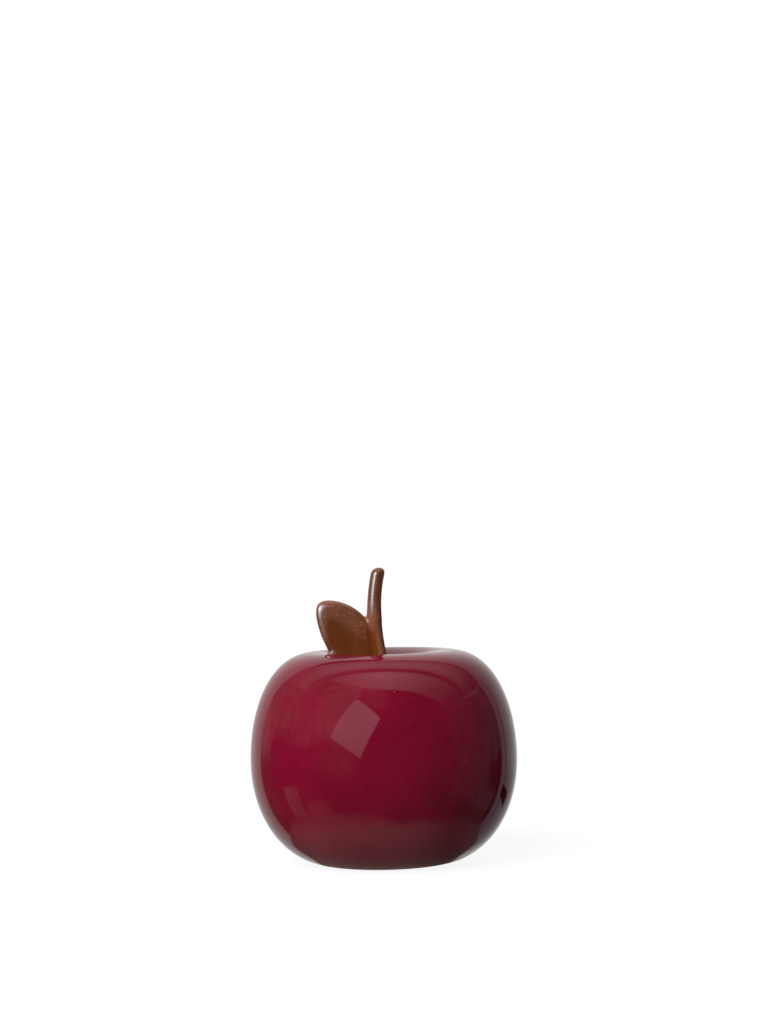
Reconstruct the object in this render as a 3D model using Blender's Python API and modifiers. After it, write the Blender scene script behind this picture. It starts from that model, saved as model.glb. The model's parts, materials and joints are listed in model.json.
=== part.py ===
# Apple money box: a hollow glazed apple with a coin slot, a stem and a leaf luted on top, and a
# soft stopper in the base. Metres, +Z up. The origin is on the table, in the middle of the foot
# ring. The front faces -Y, the leaf points to -X and the slot lies behind the stem, at +Y.

from math import atan2, cos, exp, hypot, pi, radians, sin, sqrt, tan

import bmesh
import bpy
from mathutils import Vector

MM = 0.001

# Clearance between separate pieces
SEAT_GAP = 0.3 * MM

# Apple body
BODY_RADIUS = 55.0 * MM
BELLY_HEIGHT = 42.7 * MM
CREST_HEIGHT = 86.8 * MM
CREST_RADIUS = 27.0 * MM
DIMPLE_DEPTH = 7.0 * MM
WALL = 4.0 * MM

# How full the side bulges: 2 is an ellipse, more is squarer
SHOULDER_REACH_POWER = 2.34
SHOULDER_HEIGHT_POWER = 2.0
BASE_REACH_POWER = 1.97
BASE_HEIGHT_POWER = 2.07

# Base hole, recess and foot ring
HOLE_RADIUS = 15.5 * MM
HOLE_EDGE_ROUND = 0.5 * MM
RECESS_DEPTH = 5.0 * MM
RECESS_DRAFT = 0.6 * MM
RECESS_ROUND = 1.0 * MM
FOOT_LAND = 3.4 * MM
FOOT_ROUND = 0.8 * MM
FLOOR_STEP_ROUND = 2.0 * MM

# Coin slot
SLOT_LENGTH = 36.0 * MM
SLOT_WIDTH = 5.0 * MM
SLOT_BEHIND_CREST = 7.0 * MM
SLOT_LIP = 1.0 * MM
SLOT_LIP_TURN = radians(60)

# Stem
STEM_RADIUS = 2.82 * MM
STEM_RISE = 34.4 * MM
STEM_TIP_X = -0.4 * MM
STEM_LOWER_BOW = 2.7 * MM
STEM_UPPER_BOW = 4.1 * MM
STEM_FLARE = 1.2 * MM
STEM_FLARE_LENGTH = 3.6 * MM

# Leaf
LEAF_LENGTH = 40.0 * MM
LEAF_UPPER_BULGE = 14.75 * MM
LEAF_LOWER_BULGE = 5.55 * MM
LEAF_THICKNESS = 4.6 * MM
LEAF_LEAN = radians(29.8)
LEAF_FOOT_X = -7.3 * MM
LEAF_FOOT_BELOW_CREST = 13.8 * MM
LEAF_TIP_POWER = 7.7
LEAF_PILLOW_POWER = 4.5

# Stopper
FLANGE_LAP = 3.4 * MM
FLANGE_THICKNESS = 2.2 * MM
FLANGE_ROUND = 0.8 * MM
FLANGE_SIDE_CLEARANCE = 1.1 * MM
NECK_WALL = 1.8 * MM
NECK_RISE = 4.0 * MM
NECK_TAPER = 1.6 * MM
NECK_LIP_ROUND = 0.8 * MM
NECK_FLOOR_ROUND = 1.6 * MM
RIB_HEIGHT = 0.5 * MM
RIB_WIDTH = 1.6 * MM
RIB_COUNT = 2
GRIP_LENGTH = 21.0 * MM
GRIP_WIDTH = 4.5 * MM
GRIP_END_SHARE = 0.48
GRIP_ROUND = 0.7 * MM
GRIP_ABOVE_TABLE = 0.8 * MM

# Facet counts
BODY_SEGMENTS = 48
STOPPER_SEGMENTS = 40
DIMPLE_STEPS = 7
SIDE_STEPS = 12
INNER_STEPS = 8
ROUND_STEPS = 3
RIB_STEPS = 4
LEAF_SEGMENTS = 56
LEAF_RINGS = 18
STEM_RINGS = 16
TIP_RINGS = 4
TIP_TURN = radians(86)
TRIMMER_SIDE_STEPS = 3
STEM_BEVEL_RESOLUTION = 5
SLOT_END_STEPS = 8
SLOT_SIDE_STEPS = 6

# Worked out from the sizes above
FLANGE_RADIUS = HOLE_RADIUS + FLANGE_LAP
RECESS_RADIUS = FLANGE_RADIUS + FLANGE_SIDE_CLEARANCE
RECESS_MOUTH_RADIUS = RECESS_RADIUS + RECESS_DRAFT
FOOT_RADIUS = RECESS_MOUTH_RADIUS + FOOT_LAND
FLOOR_HEIGHT = RECESS_DEPTH + WALL
DIMPLE_BOTTOM = CREST_HEIGHT - DIMPLE_DEPTH
MERGE_DISTANCE = 0.00001


def dimple_height(radius):
    """Height of the dimple's surface at a distance from the axis."""
    return CREST_HEIGHT - DIMPLE_DEPTH * cos(0.5 * pi * radius / CREST_RADIUS) ** 2


def shoulder_point(turn):
    """Point of the shoulder, from the crest at 0 to the belly at a quarter turn."""
    radius = CREST_RADIUS + (BODY_RADIUS - CREST_RADIUS) * sin(turn) ** (2 / SHOULDER_REACH_POWER)
    height = BELLY_HEIGHT + (CREST_HEIGHT - BELLY_HEIGHT) * cos(turn) ** (2 / SHOULDER_HEIGHT_POWER)
    return radius, height


def base_point(turn):
    """Point of the lower side, from the belly at 0 to the foot ring at a quarter turn."""
    radius = FOOT_RADIUS + (BODY_RADIUS - FOOT_RADIUS) * cos(turn) ** (2 / BASE_REACH_POWER)
    height = BELLY_HEIGHT * (1 - sin(turn) ** (2 / BASE_HEIGHT_POWER))
    return radius, height


def top_height(radius):
    """Height of the outside at a distance from the axis, over the dimple and the shoulder."""
    if radius <= CREST_RADIUS:
        return dimple_height(radius)
    reach = min((radius - CREST_RADIUS) / (BODY_RADIUS - CREST_RADIUS), 1.0)
    sine = reach ** (SHOULDER_REACH_POWER / 2)
    cosine = sqrt(1 - sine * sine)
    return BELLY_HEIGHT + (CREST_HEIGHT - BELLY_HEIGHT) * cosine ** (2 / SHOULDER_HEIGHT_POWER)


def dimple_profile(steps):
    """Dimple from the axis to the crest."""
    radii = [CREST_RADIUS * i / steps for i in range(steps + 1)]
    return [(radius, dimple_height(radius)) for radius in radii]


def side_profile(steps):
    """Outside from the crest to the foot ring, without its first point."""
    turns = [0.5 * pi * i / steps for i in range(1, steps + 1)]
    shoulder = [shoulder_point(turn) for turn in turns]
    lower = [base_point(turn) for turn in turns]
    return shoulder + lower


def offset_inwards(profile, distance):
    """Profile moved square to itself, towards the inside. Its first point stays on the axis."""
    moved = [(0.0, profile[0][1] - distance)]
    for i in range(1, len(profile) - 1):
        run = profile[i + 1][0] - profile[i - 1][0]
        rise = profile[i + 1][1] - profile[i - 1][1]
        length = hypot(run, rise)
        radius, height = profile[i]
        moved.append((radius + distance * rise / length, height - distance * run / length))
    return moved


def rounded(corners):
    """Path through (radius, height, rounding) corners, with an arc at each rounded one."""
    path = []
    for i, (radius, height, rounding) in enumerate(corners):
        corner = Vector((radius, height))
        if rounding == 0:
            path.append((radius, height))
            continue
        before = (Vector(corners[i - 1][:2]) - corner).normalized()
        after = (Vector(corners[i + 1][:2]) - corner).normalized()
        half_angle = 0.5 * before.angle(after)
        centre = corner + (before + after).normalized() * rounding / sin(half_angle)
        start = corner + before * rounding / tan(half_angle) - centre
        sweep = start.angle_signed(corner + after * rounding / tan(half_angle) - centre)
        for step in range(ROUND_STEPS + 1):
            angle = -sweep * step / ROUND_STEPS
            turned_x = start.x * cos(angle) - start.y * sin(angle)
            turned_y = start.x * sin(angle) + start.y * cos(angle)
            path.append((centre.x + turned_x, centre.y + turned_y))
    return path


def new_collection(name):
    collection = bpy.data.collections.new(name)
    bpy.context.scene.collection.children.link(collection)
    return collection


def add_object(name, data, collection):
    part = bpy.data.objects.new(name, data)
    collection.objects.link(part)
    return part


def turned(name, profile, segments, collection):
    """Solid turned about the Z axis from a profile that starts and ends on it."""
    mesh = bpy.data.meshes.new(name)
    points = [(radius, 0.0, height) for radius, height in profile]
    mesh.from_pydata(points, [(i, i + 1) for i in range(len(points) - 1)], [])
    part = add_object(name, mesh, collection)
    screw = part.modifiers.new("Turn", "SCREW")
    screw.axis = "Z"
    screw.steps = segments
    screw.render_steps = segments
    screw.use_merge_vertices = True
    screw.merge_threshold = MERGE_DISTANCE
    return part


def cut(part, cutter, operation="DIFFERENCE"):
    """Boolean with a hidden helper solid."""
    cutter.hide_render = True
    cutter.display_type = "WIRE"
    boolean = part.modifiers.new(cutter.name, "BOOLEAN")
    boolean.operation = operation
    boolean.solver = "EXACT"
    boolean.object = cutter


def to_mesh(part):
    """Evaluated shape of an object as a plain mesh with its doubles merged."""
    depsgraph = bpy.context.evaluated_depsgraph_get()
    mesh = bpy.data.meshes.new_from_object(part.evaluated_get(depsgraph))
    shape = bmesh.new()
    shape.from_mesh(mesh)
    bmesh.ops.remove_doubles(shape, verts=shape.verts, dist=MERGE_DISTANCE)
    shape.to_mesh(mesh)
    shape.free()
    return mesh


def finish(part, colour, roughness, sharp_angle):
    """Applies the modifiers, shades round faces smooth and gives the piece its material."""
    mesh = to_mesh(part)
    part.modifiers.clear()
    part.data = mesh
    mesh.name = part.name
    mesh.shade_smooth()
    mesh.set_sharp_from_angle(angle=sharp_angle)
    material = bpy.data.materials.new(part.name)
    material.use_nodes = True
    shader = material.node_tree.nodes["Principled BSDF"]
    shader.inputs["Base Color"].default_value = (*colour, 1.0)
    shader.inputs["Roughness"].default_value = roughness
    shader.inputs["Metallic"].default_value = 0.0
    mesh.materials.clear()
    mesh.materials.append(material)


# Shell

def shell_profile():
    """Section of the pot: outside, foot, recess and hole, then the cavity, back to the axis."""
    outside = dimple_profile(DIMPLE_STEPS) + side_profile(SIDE_STEPS)
    base = rounded([
        (FOOT_RADIUS, 0.0, 0.0),
        (RECESS_MOUTH_RADIUS, 0.0, FOOT_ROUND),
        (RECESS_RADIUS, RECESS_DEPTH, RECESS_ROUND),
        (HOLE_RADIUS, RECESS_DEPTH, HOLE_EDGE_ROUND),
        (HOLE_RADIUS, FLOOR_HEIGHT, HOLE_EDGE_ROUND),
        (RECESS_RADIUS + WALL, FLOOR_HEIGHT, FLOOR_STEP_ROUND),
        (RECESS_MOUTH_RADIUS + WALL, WALL, FLOOR_STEP_ROUND),
        (BODY_RADIUS, WALL, 0.0),
    ])
    # The last corner only gives the floor's direction, and the cavity's side takes over from there
    inside = offset_inwards(dimple_profile(INNER_STEPS // 2) + side_profile(INNER_STEPS), WALL)
    floor_end = base[-2][0]
    cavity = [point for point in reversed(inside) if point[0] > floor_end or point[1] > BELLY_HEIGHT]
    return outside + base[1:-1] + cavity


def slot_ring(shape, widening, height_at):
    """Ring of points round the slot's stadium outline, widened and set at a height."""
    straight = 0.5 * (SLOT_LENGTH - SLOT_WIDTH)
    end_radius = 0.5 * SLOT_WIDTH + widening
    middle = CREST_RADIUS + SLOT_BEHIND_CREST
    outline = []
    for side in (1, -1):
        for step in range(SLOT_END_STEPS + 1):
            angle = pi * (step / SLOT_END_STEPS - 0.5 * side)
            outline.append((side * straight + end_radius * cos(angle), middle + end_radius * sin(angle)))
        for step in range(1, SLOT_SIDE_STEPS):
            x = side * straight * (1 - 2 * step / SLOT_SIDE_STEPS)
            outline.append((x, middle + side * end_radius))
    return [shape.verts.new((x, y, height_at(hypot(x, y)))) for x, y in outline]


def slot_cutter(collection):
    """Slot through the wall, with a rounded lip that follows the curved top."""
    shape = bmesh.new()
    rings = [slot_ring(shape, 0.0, lambda radius: CREST_HEIGHT - 0.5 * BODY_RADIUS)]
    for step in range(ROUND_STEPS + 1):
        angle = SLOT_LIP_TURN * step / ROUND_STEPS
        depth = SLOT_LIP * (1 - sin(angle))
        widening = SLOT_LIP * (1 - cos(angle))
        rings.append(slot_ring(shape, widening, lambda radius: top_height(radius) - depth))
    # The lip's last slope runs on past the surface, so that the cut leaves no sliver
    run_on = 0.5 * SLOT_LIP
    widening += run_on / tan(0.5 * pi - SLOT_LIP_TURN)
    depth -= run_on
    rings.append(slot_ring(shape, widening, lambda radius: top_height(radius) - depth))
    rings.append(slot_ring(shape, widening, lambda radius: CREST_HEIGHT + SLOT_LIP))
    for lower, upper in zip(rings, rings[1:]):
        for i, start in enumerate(lower):
            j = (i + 1) % len(lower)
            shape.faces.new((start, lower[j], upper[j], upper[i]))
    shape.faces.new(reversed(rings[0]))
    shape.faces.new(rings[-1])
    mesh = bpy.data.meshes.new("slot_cutter")
    shape.to_mesh(mesh)
    shape.free()
    return add_object("slot_cutter", mesh, collection)


def make_shell(parts, cutters):
    shell = turned("apple_shell", shell_profile(), BODY_SEGMENTS, parts)
    cut(shell, slot_cutter(cutters))
    finish(shell, (0.23, 0.004, 0.022), 0.07, radians(40))
    return shell


# Stem

def stem_path(share):
    """Point of the stem's bowed middle line, from the dimple's bottom at 0 to the tip at 1."""
    rise = CREST_HEIGHT + STEM_RISE - DIMPLE_BOTTOM
    start = Vector((0.0, 0.0, DIMPLE_BOTTOM))
    lower = start + Vector((-STEM_LOWER_BOW, 0.0, rise / 3))
    upper = start + Vector((-STEM_UPPER_BOW, 0.0, rise * 2 / 3))
    end = start + Vector((STEM_TIP_X, 0.0, rise))
    rest = 1 - share
    return (start * rest ** 3 + lower * 3 * rest ** 2 * share
            + upper * 3 * rest * share ** 2 + end * share ** 3)


def stem_radius(share):
    """Stem radius with the soft flare at its root."""
    height = stem_path(share).z - DIMPLE_BOTTOM
    return STEM_RADIUS + STEM_FLARE * exp(-height / STEM_FLARE_LENGTH)


def stem_solid(name, growth, collection):
    """Stem as a curve along its middle line, with a domed tip, thickened by growth."""
    rise = CREST_HEIGHT + STEM_RISE - DIMPLE_BOTTOM
    dome = STEM_RADIUS / rise
    root = -2 * WALL / rise
    shares = [root + (1 - dome - root) * i / STEM_RINGS for i in range(STEM_RINGS + 1)]
    stations = [(share, stem_radius(max(share, 0.0))) for share in shares]
    for ring in range(1, TIP_RINGS + 1):
        angle = TIP_TURN * ring / TIP_RINGS
        stations.append((1 - dome + dome * sin(angle), STEM_RADIUS * cos(angle)))
    curve = bpy.data.curves.new(name, "CURVE")
    curve.dimensions = "3D"
    curve.bevel_depth = 1.0
    curve.bevel_resolution = STEM_BEVEL_RESOLUTION
    curve.use_fill_caps = True
    spline = curve.splines.new("POLY")
    spline.points.add(len(stations) - 1)
    for point, (share, radius) in zip(spline.points, stations):
        point.co = (*stem_path(share), 1.0)
        point.radius = radius + growth
    tube = add_object(name + "_curve", curve, collection)
    stem = add_object(name, to_mesh(tube), collection)
    bpy.data.objects.remove(tube)
    return stem


def dimple_cutter(collection):
    """Solid under the dimple, raised by the seat gap, that trims what stands in the dimple."""
    surface = dimple_profile(DIMPLE_STEPS) + side_profile(SIDE_STEPS)[:TRIMMER_SIDE_STEPS]
    profile = [(radius, height + SEAT_GAP) for radius, height in surface]
    bottom = CREST_HEIGHT - LEAF_LENGTH
    profile += [(profile[-1][0], bottom), (0.0, bottom)]
    return turned("dimple_cutter", profile, BODY_SEGMENTS, collection)


def make_stem(parts, trimmer):
    stem = stem_solid("stem", 0.0, parts)
    cut(stem, trimmer)
    finish(stem, (0.13, 0.035, 0.014), 0.16, radians(50))
    return stem


# Leaf

def leaf_outline(angle):
    """Distance from the leaf's middle to its edge, where two arcs meet in a softened tip."""
    along = Vector((-sin(LEAF_LEAN), cos(LEAF_LEAN)))
    across = Vector((cos(LEAF_LEAN), sin(LEAF_LEAN)))
    middle = across * 0.5 * (LEAF_UPPER_BULGE - LEAF_LOWER_BULGE)
    ray = Vector((cos(angle), sin(angle)))
    reach = 0.0
    for bulge, side in ((LEAF_UPPER_BULGE, 1), (LEAF_LOWER_BULGE, -1)):
        arc_radius = (0.25 * LEAF_LENGTH ** 2 + bulge ** 2) / (2 * bulge)
        arc_centre = across * side * (bulge - arc_radius)
        towards = middle - arc_centre
        dot = -towards.dot(ray)
        far = dot + sqrt(dot * dot - towards.length_squared + arc_radius ** 2)
        reach += far ** -LEAF_TIP_POWER
    foot = Vector((LEAF_FOOT_X, CREST_HEIGHT - LEAF_FOOT_BELOW_CREST))
    centre = foot + along * 0.5 * LEAF_LENGTH + middle
    return centre + ray * reach ** (-1 / LEAF_TIP_POWER), centre


def make_leaf(parts, cutters, trimmer):
    """A ball pressed into the leaf's outline, trimmed to the dimple and to the stem."""
    shape = bmesh.new()
    bmesh.ops.create_uvsphere(shape, u_segments=LEAF_SEGMENTS, v_segments=LEAF_RINGS, radius=1.0)
    for vert in shape.verts:
        edge, centre = leaf_outline(atan2(vert.co.y, vert.co.x))
        spread = hypot(vert.co.x, vert.co.y) ** (2 / LEAF_PILLOW_POWER)
        place = centre + (edge - centre) * spread
        vert.co = (place.x, -0.5 * LEAF_THICKNESS * vert.co.z, place.y)
    mesh = bpy.data.meshes.new("leaf")
    shape.to_mesh(mesh)
    shape.free()
    leaf = add_object("leaf", mesh, parts)
    cut(leaf, trimmer)
    cut(leaf, stem_solid("stem_cutter", SEAT_GAP, cutters))
    finish(leaf, (0.13, 0.035, 0.014), 0.16, radians(50))
    return leaf


# Stopper

def stopper_profile():
    """Section of the plug: hollow neck with sealing ribs, flange, and a closed outer face."""
    flange_top = RECESS_DEPTH - SEAT_GAP
    flange_bottom = flange_top - FLANGE_THICKNESS
    rib_radius = HOLE_RADIUS - SEAT_GAP
    neck_radius = rib_radius - RIB_HEIGHT
    neck_top = FLOOR_HEIGHT + NECK_RISE
    mouth_radius = neck_radius - NECK_TAPER
    lip_round = min(NECK_LIP_ROUND, 0.45 * NECK_WALL)
    corners = [
        (0.0, flange_top, 0.0),
        (mouth_radius - 0.5 * NECK_WALL, flange_top, NECK_FLOOR_ROUND),
        (mouth_radius - NECK_WALL, neck_top, lip_round),
        (mouth_radius, neck_top, lip_round),
        (neck_radius, FLOOR_HEIGHT, 0.0),
    ]
    for rib in range(RIB_COUNT):
        middle = FLOOR_HEIGHT - WALL * (rib + 0.5) / RIB_COUNT
        for step in range(RIB_STEPS + 1):
            across = step / RIB_STEPS
            radius = neck_radius + RIB_HEIGHT * sin(pi * across)
            corners.append((radius, middle + RIB_WIDTH * (0.5 - across), 0.0))
    corners += [
        (neck_radius, flange_top, 0.0),
        (FLANGE_RADIUS, flange_top, FLANGE_ROUND / 2),
        (FLANGE_RADIUS, flange_bottom, FLANGE_ROUND),
        (0.0, flange_bottom, 0.0),
    ]
    return rounded(corners)


def grip_bar(collection):
    """Raised bar across the outer face, to pull the plug out by."""
    top = RECESS_DEPTH - SEAT_GAP - 0.5 * FLANGE_THICKNESS
    shape = bmesh.new()
    bmesh.ops.create_cube(shape, size=1.0)
    bmesh.ops.scale(shape, vec=(GRIP_LENGTH, GRIP_WIDTH, top - GRIP_ABOVE_TABLE), verts=shape.verts)
    bmesh.ops.translate(shape, vec=(0.0, 0.0, 0.5 * (top + GRIP_ABOVE_TABLE)), verts=shape.verts)
    middle = 0.5 * (top + GRIP_ABOVE_TABLE)
    upright = [edge for edge in shape.edges
               if (edge.verts[0].co.z > middle) != (edge.verts[1].co.z > middle)]
    bmesh.ops.bevel(shape, geom=upright, offset=GRIP_END_SHARE * GRIP_WIDTH,
                    segments=2 * ROUND_STEPS, profile=0.5, affect="EDGES")
    under = [edge for edge in shape.edges if all(vert.co.z < middle for vert in edge.verts)]
    bmesh.ops.bevel(shape, geom=under, offset=GRIP_ROUND, segments=ROUND_STEPS,
                    profile=0.5, affect="EDGES")
    mesh = bpy.data.meshes.new("grip_bar")
    shape.to_mesh(mesh)
    shape.free()
    return add_object("grip_bar", mesh, collection)


def make_stopper(parts, cutters):
    stopper = turned("stopper", stopper_profile(), STOPPER_SEGMENTS, parts)
    cut(stopper, grip_bar(cutters), "UNION")
    finish(stopper, (0.62, 0.60, 0.56), 0.5, radians(35))
    return stopper


def main():
    for leftover in list(bpy.data.objects):
        bpy.data.objects.remove(leftover)
    parts = new_collection("apple_money_box")
    cutters = new_collection("cutters")
    make_shell(parts, cutters)
    trimmer = dimple_cutter(cutters)
    make_stem(parts, trimmer)
    make_leaf(parts, cutters, trimmer)
    make_stopper(parts, cutters)


main()
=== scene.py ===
# Glazed apple money box: a red body with a coin slot, a brown stem and leaf, and a soft plug below
import json
import math

import bmesh
import bpy
import numpy as np
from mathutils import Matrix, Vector

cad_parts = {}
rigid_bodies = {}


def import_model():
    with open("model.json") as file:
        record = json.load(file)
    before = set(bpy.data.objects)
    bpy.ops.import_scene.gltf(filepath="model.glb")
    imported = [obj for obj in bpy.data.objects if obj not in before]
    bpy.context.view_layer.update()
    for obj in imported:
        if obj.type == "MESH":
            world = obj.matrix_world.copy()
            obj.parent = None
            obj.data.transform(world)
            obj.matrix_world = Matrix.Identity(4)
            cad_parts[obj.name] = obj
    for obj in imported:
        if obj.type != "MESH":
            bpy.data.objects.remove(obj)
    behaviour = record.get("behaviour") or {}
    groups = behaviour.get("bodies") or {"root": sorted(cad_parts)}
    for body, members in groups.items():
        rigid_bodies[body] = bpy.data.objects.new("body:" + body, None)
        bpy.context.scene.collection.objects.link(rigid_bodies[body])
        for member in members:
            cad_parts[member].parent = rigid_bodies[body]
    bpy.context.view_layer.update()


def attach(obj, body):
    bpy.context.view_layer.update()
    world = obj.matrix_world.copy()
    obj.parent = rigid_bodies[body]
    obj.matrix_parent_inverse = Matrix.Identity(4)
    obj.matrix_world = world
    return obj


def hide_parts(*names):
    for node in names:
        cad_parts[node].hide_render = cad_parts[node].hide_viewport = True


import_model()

mm = 0.001
quarterTurn = 0.5 * math.pi
fullTurn = 2 * math.pi
degrees = 180 / math.pi

# Main sizes of the body in millimetres, shared by all that stands on it or goes into it
apple = {
    "radius": 55.0,
    "bellyHeight": 42.7,
    "crestHeight": 86.8,
    "crestRadius": 27.0,
    "dimpleDepth": 7.0,
    "wall": 4.0,
    "shoulderPowers": (2.34, 2.0),  # reach and height, 2 is an ellipse
    "basePowers": (1.97, 2.07),
    "footRadius": 24.0,
    "recessMouth": 20.6,
    "recessRadius": 20.0,
    "recessDepth": 5.0,
    "holeRadius": 15.5,
}


# Small helpers

def freshStart():
    if bpy.context.mode != "OBJECT":
        bpy.ops.object.mode_set(mode="OBJECT")
    bpy.ops.object.select_all(action="DESELECT")


def named(name):
    piece = bpy.context.active_object
    piece.name = piece.data.name = name
    return piece


def only(piece):
    freshStart()
    piece.select_set(True)
    bpy.context.view_layer.objects.active = piece


def edit(piece):
    only(piece)
    bpy.ops.object.mode_set(mode="EDIT")
    bpy.ops.mesh.select_mode(type="VERT")


def pick(piece, kind, test):
    mesh = bmesh.from_edit_mesh(piece.data)
    bpy.ops.mesh.select_mode(type={"edges": "EDGE", "faces": "FACE"}[kind])
    bpy.ops.mesh.select_all(action="DESELECT")
    for part in getattr(mesh, kind):
        if test(part):
            part.select_set(True)
    mesh.select_flush_mode()
    bmesh.update_edit_mesh(piece.data)


def settle(piece):
    # Place, turn and size go into the mesh
    only(piece)
    bpy.ops.object.transform_apply()


def selectAll():
    bpy.ops.mesh.select_all(action="SELECT")


def faceOutwards():
    selectAll()
    bpy.ops.mesh.normals_make_consistent(inside=False)


def extrude(x, y, z):
    # By so many millimetres
    bpy.ops.mesh.extrude_region_move(TRANSFORM_OT_translate={"value": (x * mm, y * mm, z * mm)})


def applyModifier(piece, kind, **settings):
    only(piece)
    modifier = piece.modifiers.new(kind.title(), kind)
    for name, value in settings.items():
        setattr(modifier, name, value)
    bpy.ops.object.modifier_apply(modifier=modifier.name)


def joined(pieces, name):
    only(pieces[0])
    for piece in pieces:
        piece.select_set(True)
    bpy.ops.object.join()
    return named(name)


def portion(value, start, end):
    # 0 at the start and 1 at the end, for a number or a whole array; the end may be the lower one
    return np.clip((value - start) / (end - start), 0.0, 1.0)


def smooth(share):
    share = np.clip(share, 0.0, 1.0)
    return share * share * (3 - 2 * share)


def setAttribute(piece, name, values):
    layer = piece.data.attributes.new(name, "FLOAT", "POINT")
    layer.data.foreach_set("value", values)


def finishMesh(piece, material, sharpAngle):
    settle(piece)
    bpy.ops.object.shade_smooth_by_angle(angle=math.radians(sharpAngle))
    piece.data.materials.append(material)


# The body's section as (radius, height) points in millimetres

def shoulderPoint(turn):
    reach, height = apple["shoulderPowers"]
    wide = apple["radius"] - apple["crestRadius"]
    tall = apple["crestHeight"] - apple["bellyHeight"]
    return (apple["crestRadius"] + wide * math.sin(turn) ** (2 / reach),
            apple["bellyHeight"] + tall * math.cos(turn) ** (2 / height))


def basePoint(turn):
    reach, height = apple["basePowers"]
    wide = apple["radius"] - apple["footRadius"]
    return (apple["footRadius"] + wide * math.cos(turn) ** (2 / reach),
            apple["bellyHeight"] * (1 - math.sin(turn) ** (2 / height)))


def outsideSection(dimpleSteps, sideSteps):
    points = []
    for step in range(dimpleSteps):
        share = step / dimpleSteps
        drop = apple["dimpleDepth"] * math.cos(quarterTurn * share) ** 2
        points.append((apple["crestRadius"] * share, apple["crestHeight"] - drop))
    turns = [quarterTurn * step / sideSteps for step in range(sideSteps + 1)]
    return points + [shoulderPoint(turn) for turn in turns] + [basePoint(turn) for turn in turns[1:]]


def movedInwards(points, distance):
    moved = [(0.0, points[0][1] - distance)]
    for before, (radius, height), after in zip(points, points[1:], points[2:]):
        run, rise = after[0] - before[0], after[1] - before[1]
        length = math.hypot(run, rise)
        moved.append((radius + distance * rise / length, height - distance * run / length))
    return moved


def roundedPath(corners, steps):
    # Each corner is (radius, height, rounding) and a rounded one becomes an arc
    path = []
    for i, (radius, height, rounding) in enumerate(corners):
        if rounding == 0:
            path.append((radius, height))
            continue
        corner = Vector((radius, height))
        before = (Vector(corners[i - 1][:2]) - corner).normalized()
        after = (Vector(corners[i + 1][:2]) - corner).normalized()
        halfAngle = 0.5 * before.angle(after)
        centre = corner + (before + after).normalized() * rounding / math.sin(halfAngle)
        start = corner + before * rounding / math.tan(halfAngle) - centre
        end = corner + after * rounding / math.tan(halfAngle) - centre
        sweep = -start.angle_signed(end)
        for step in range(steps + 1):
            turn = sweep * step / steps
            path.append((centre.x + start.x * math.cos(turn) - start.y * math.sin(turn),
                         centre.y + start.x * math.sin(turn) + start.y * math.cos(turn)))
    return path


fineDimpleSteps = 300
fineOutside = np.array(outsideSection(fineDimpleSteps, 600))
fineInside = np.array(movedInwards(fineOutside.tolist(), apple["wall"]))
upperOutside = fineOutside[fineOutside[:, 1] > apple["bellyHeight"]].T
upperInside = fineInside[fineInside[:, 1] > apple["bellyHeight"]].T
heightsAndRadii = fineOutside[fineDimpleSteps:][::-1, ::-1].T


def topHeight(radius):
    return np.interp(radius, *upperOutside)


def ceilingHeight(radius):
    return np.interp(radius, *upperInside)


def sideRadius(height):
    return np.interp(height, *heightsAndRadii)


# A section drawn point by point and spun round the upright axis

def spun(name, points, steps):
    freshStart()
    radius, height = points[0]
    bpy.ops.mesh.primitive_plane_add(size=mm, location=(radius * mm, 0, height * mm))
    piece = named(name)
    edit(piece)
    bpy.ops.mesh.merge(type="CENTER")
    for before, after in zip(points, points[1:]):
        extrude(after[0] - before[0], 0, after[1] - before[1])
    selectAll()
    bpy.ops.mesh.spin(steps=steps, angle=fullTurn, center=(0, 0, 0), axis=(0, 0, 1))
    selectAll()
    bpy.ops.mesh.remove_doubles(threshold=0.001 * mm)
    faceOutwards()
    settle(piece)
    return piece


# Nodes and materials

def feed(tree, made, inputs):
    # Each input gets a link or a fixed value
    for name, value in inputs.items():
        if isinstance(value, bpy.types.NodeSocket):
            tree.links.new(value, made.inputs[name])
        else:
            made.inputs[name].default_value = value


def node(tree, kind, inputs, **settings):
    made = tree.nodes.new("ShaderNode" + kind)
    for name, value in settings.items():
        setattr(made, name, value)
    feed(tree, made, inputs)
    return made


def newMaterial(name, roughness):
    material = bpy.data.materials.new(name)
    material.use_nodes = True
    tree = material.node_tree
    shader = tree.nodes["Principled BSDF"]
    feed(tree, shader, {"Roughness": roughness, "IOR": 1.5})
    return material, tree, shader


def sums(tree, operation, first, second=0.0):
    return node(tree, "Math", {0: first, 1: second}, operation=operation).outputs[0]


def plus(tree, first, second):
    return sums(tree, "ADD", first, second)


def minus(tree, first, second):
    return sums(tree, "SUBTRACT", first, second)


def times(tree, first, second):
    return sums(tree, "MULTIPLY", first, second)


def ramp(tree, value, low, high, start=0.0, end=1.0, shape="SMOOTHSTEP"):
    made = node(tree, "MapRange", {"Value": value, "From Min": low, "From Max": high,
                                   "To Min": start, "To Max": end}, interpolation_type=shape)
    return made.outputs["Result"]


def mix(tree, share, first, second):
    return node(tree, "Mix", {0: share, 2: first, 3: second}).outputs[0]


def blend(tree, share, first, second):
    return node(tree, "Mix", {0: share, 6: first, 7: second}, data_type="RGBA").outputs[2]


def objectPlace(tree):
    return node(tree, "TexCoord", {}).outputs["Object"]


def noise(tree, size, detail):
    # Size is that of one patch of the pattern, in millimetres
    inputs = {"Vector": objectPlace(tree), "Scale": 1 / (size * mm), "Detail": detail}
    return node(tree, "TexNoise", inputs).outputs["Fac"]


def swing(tree, pattern, strength):
    # A pattern that goes up and down about nothing
    return times(tree, minus(tree, pattern, 0.5), strength)


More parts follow.
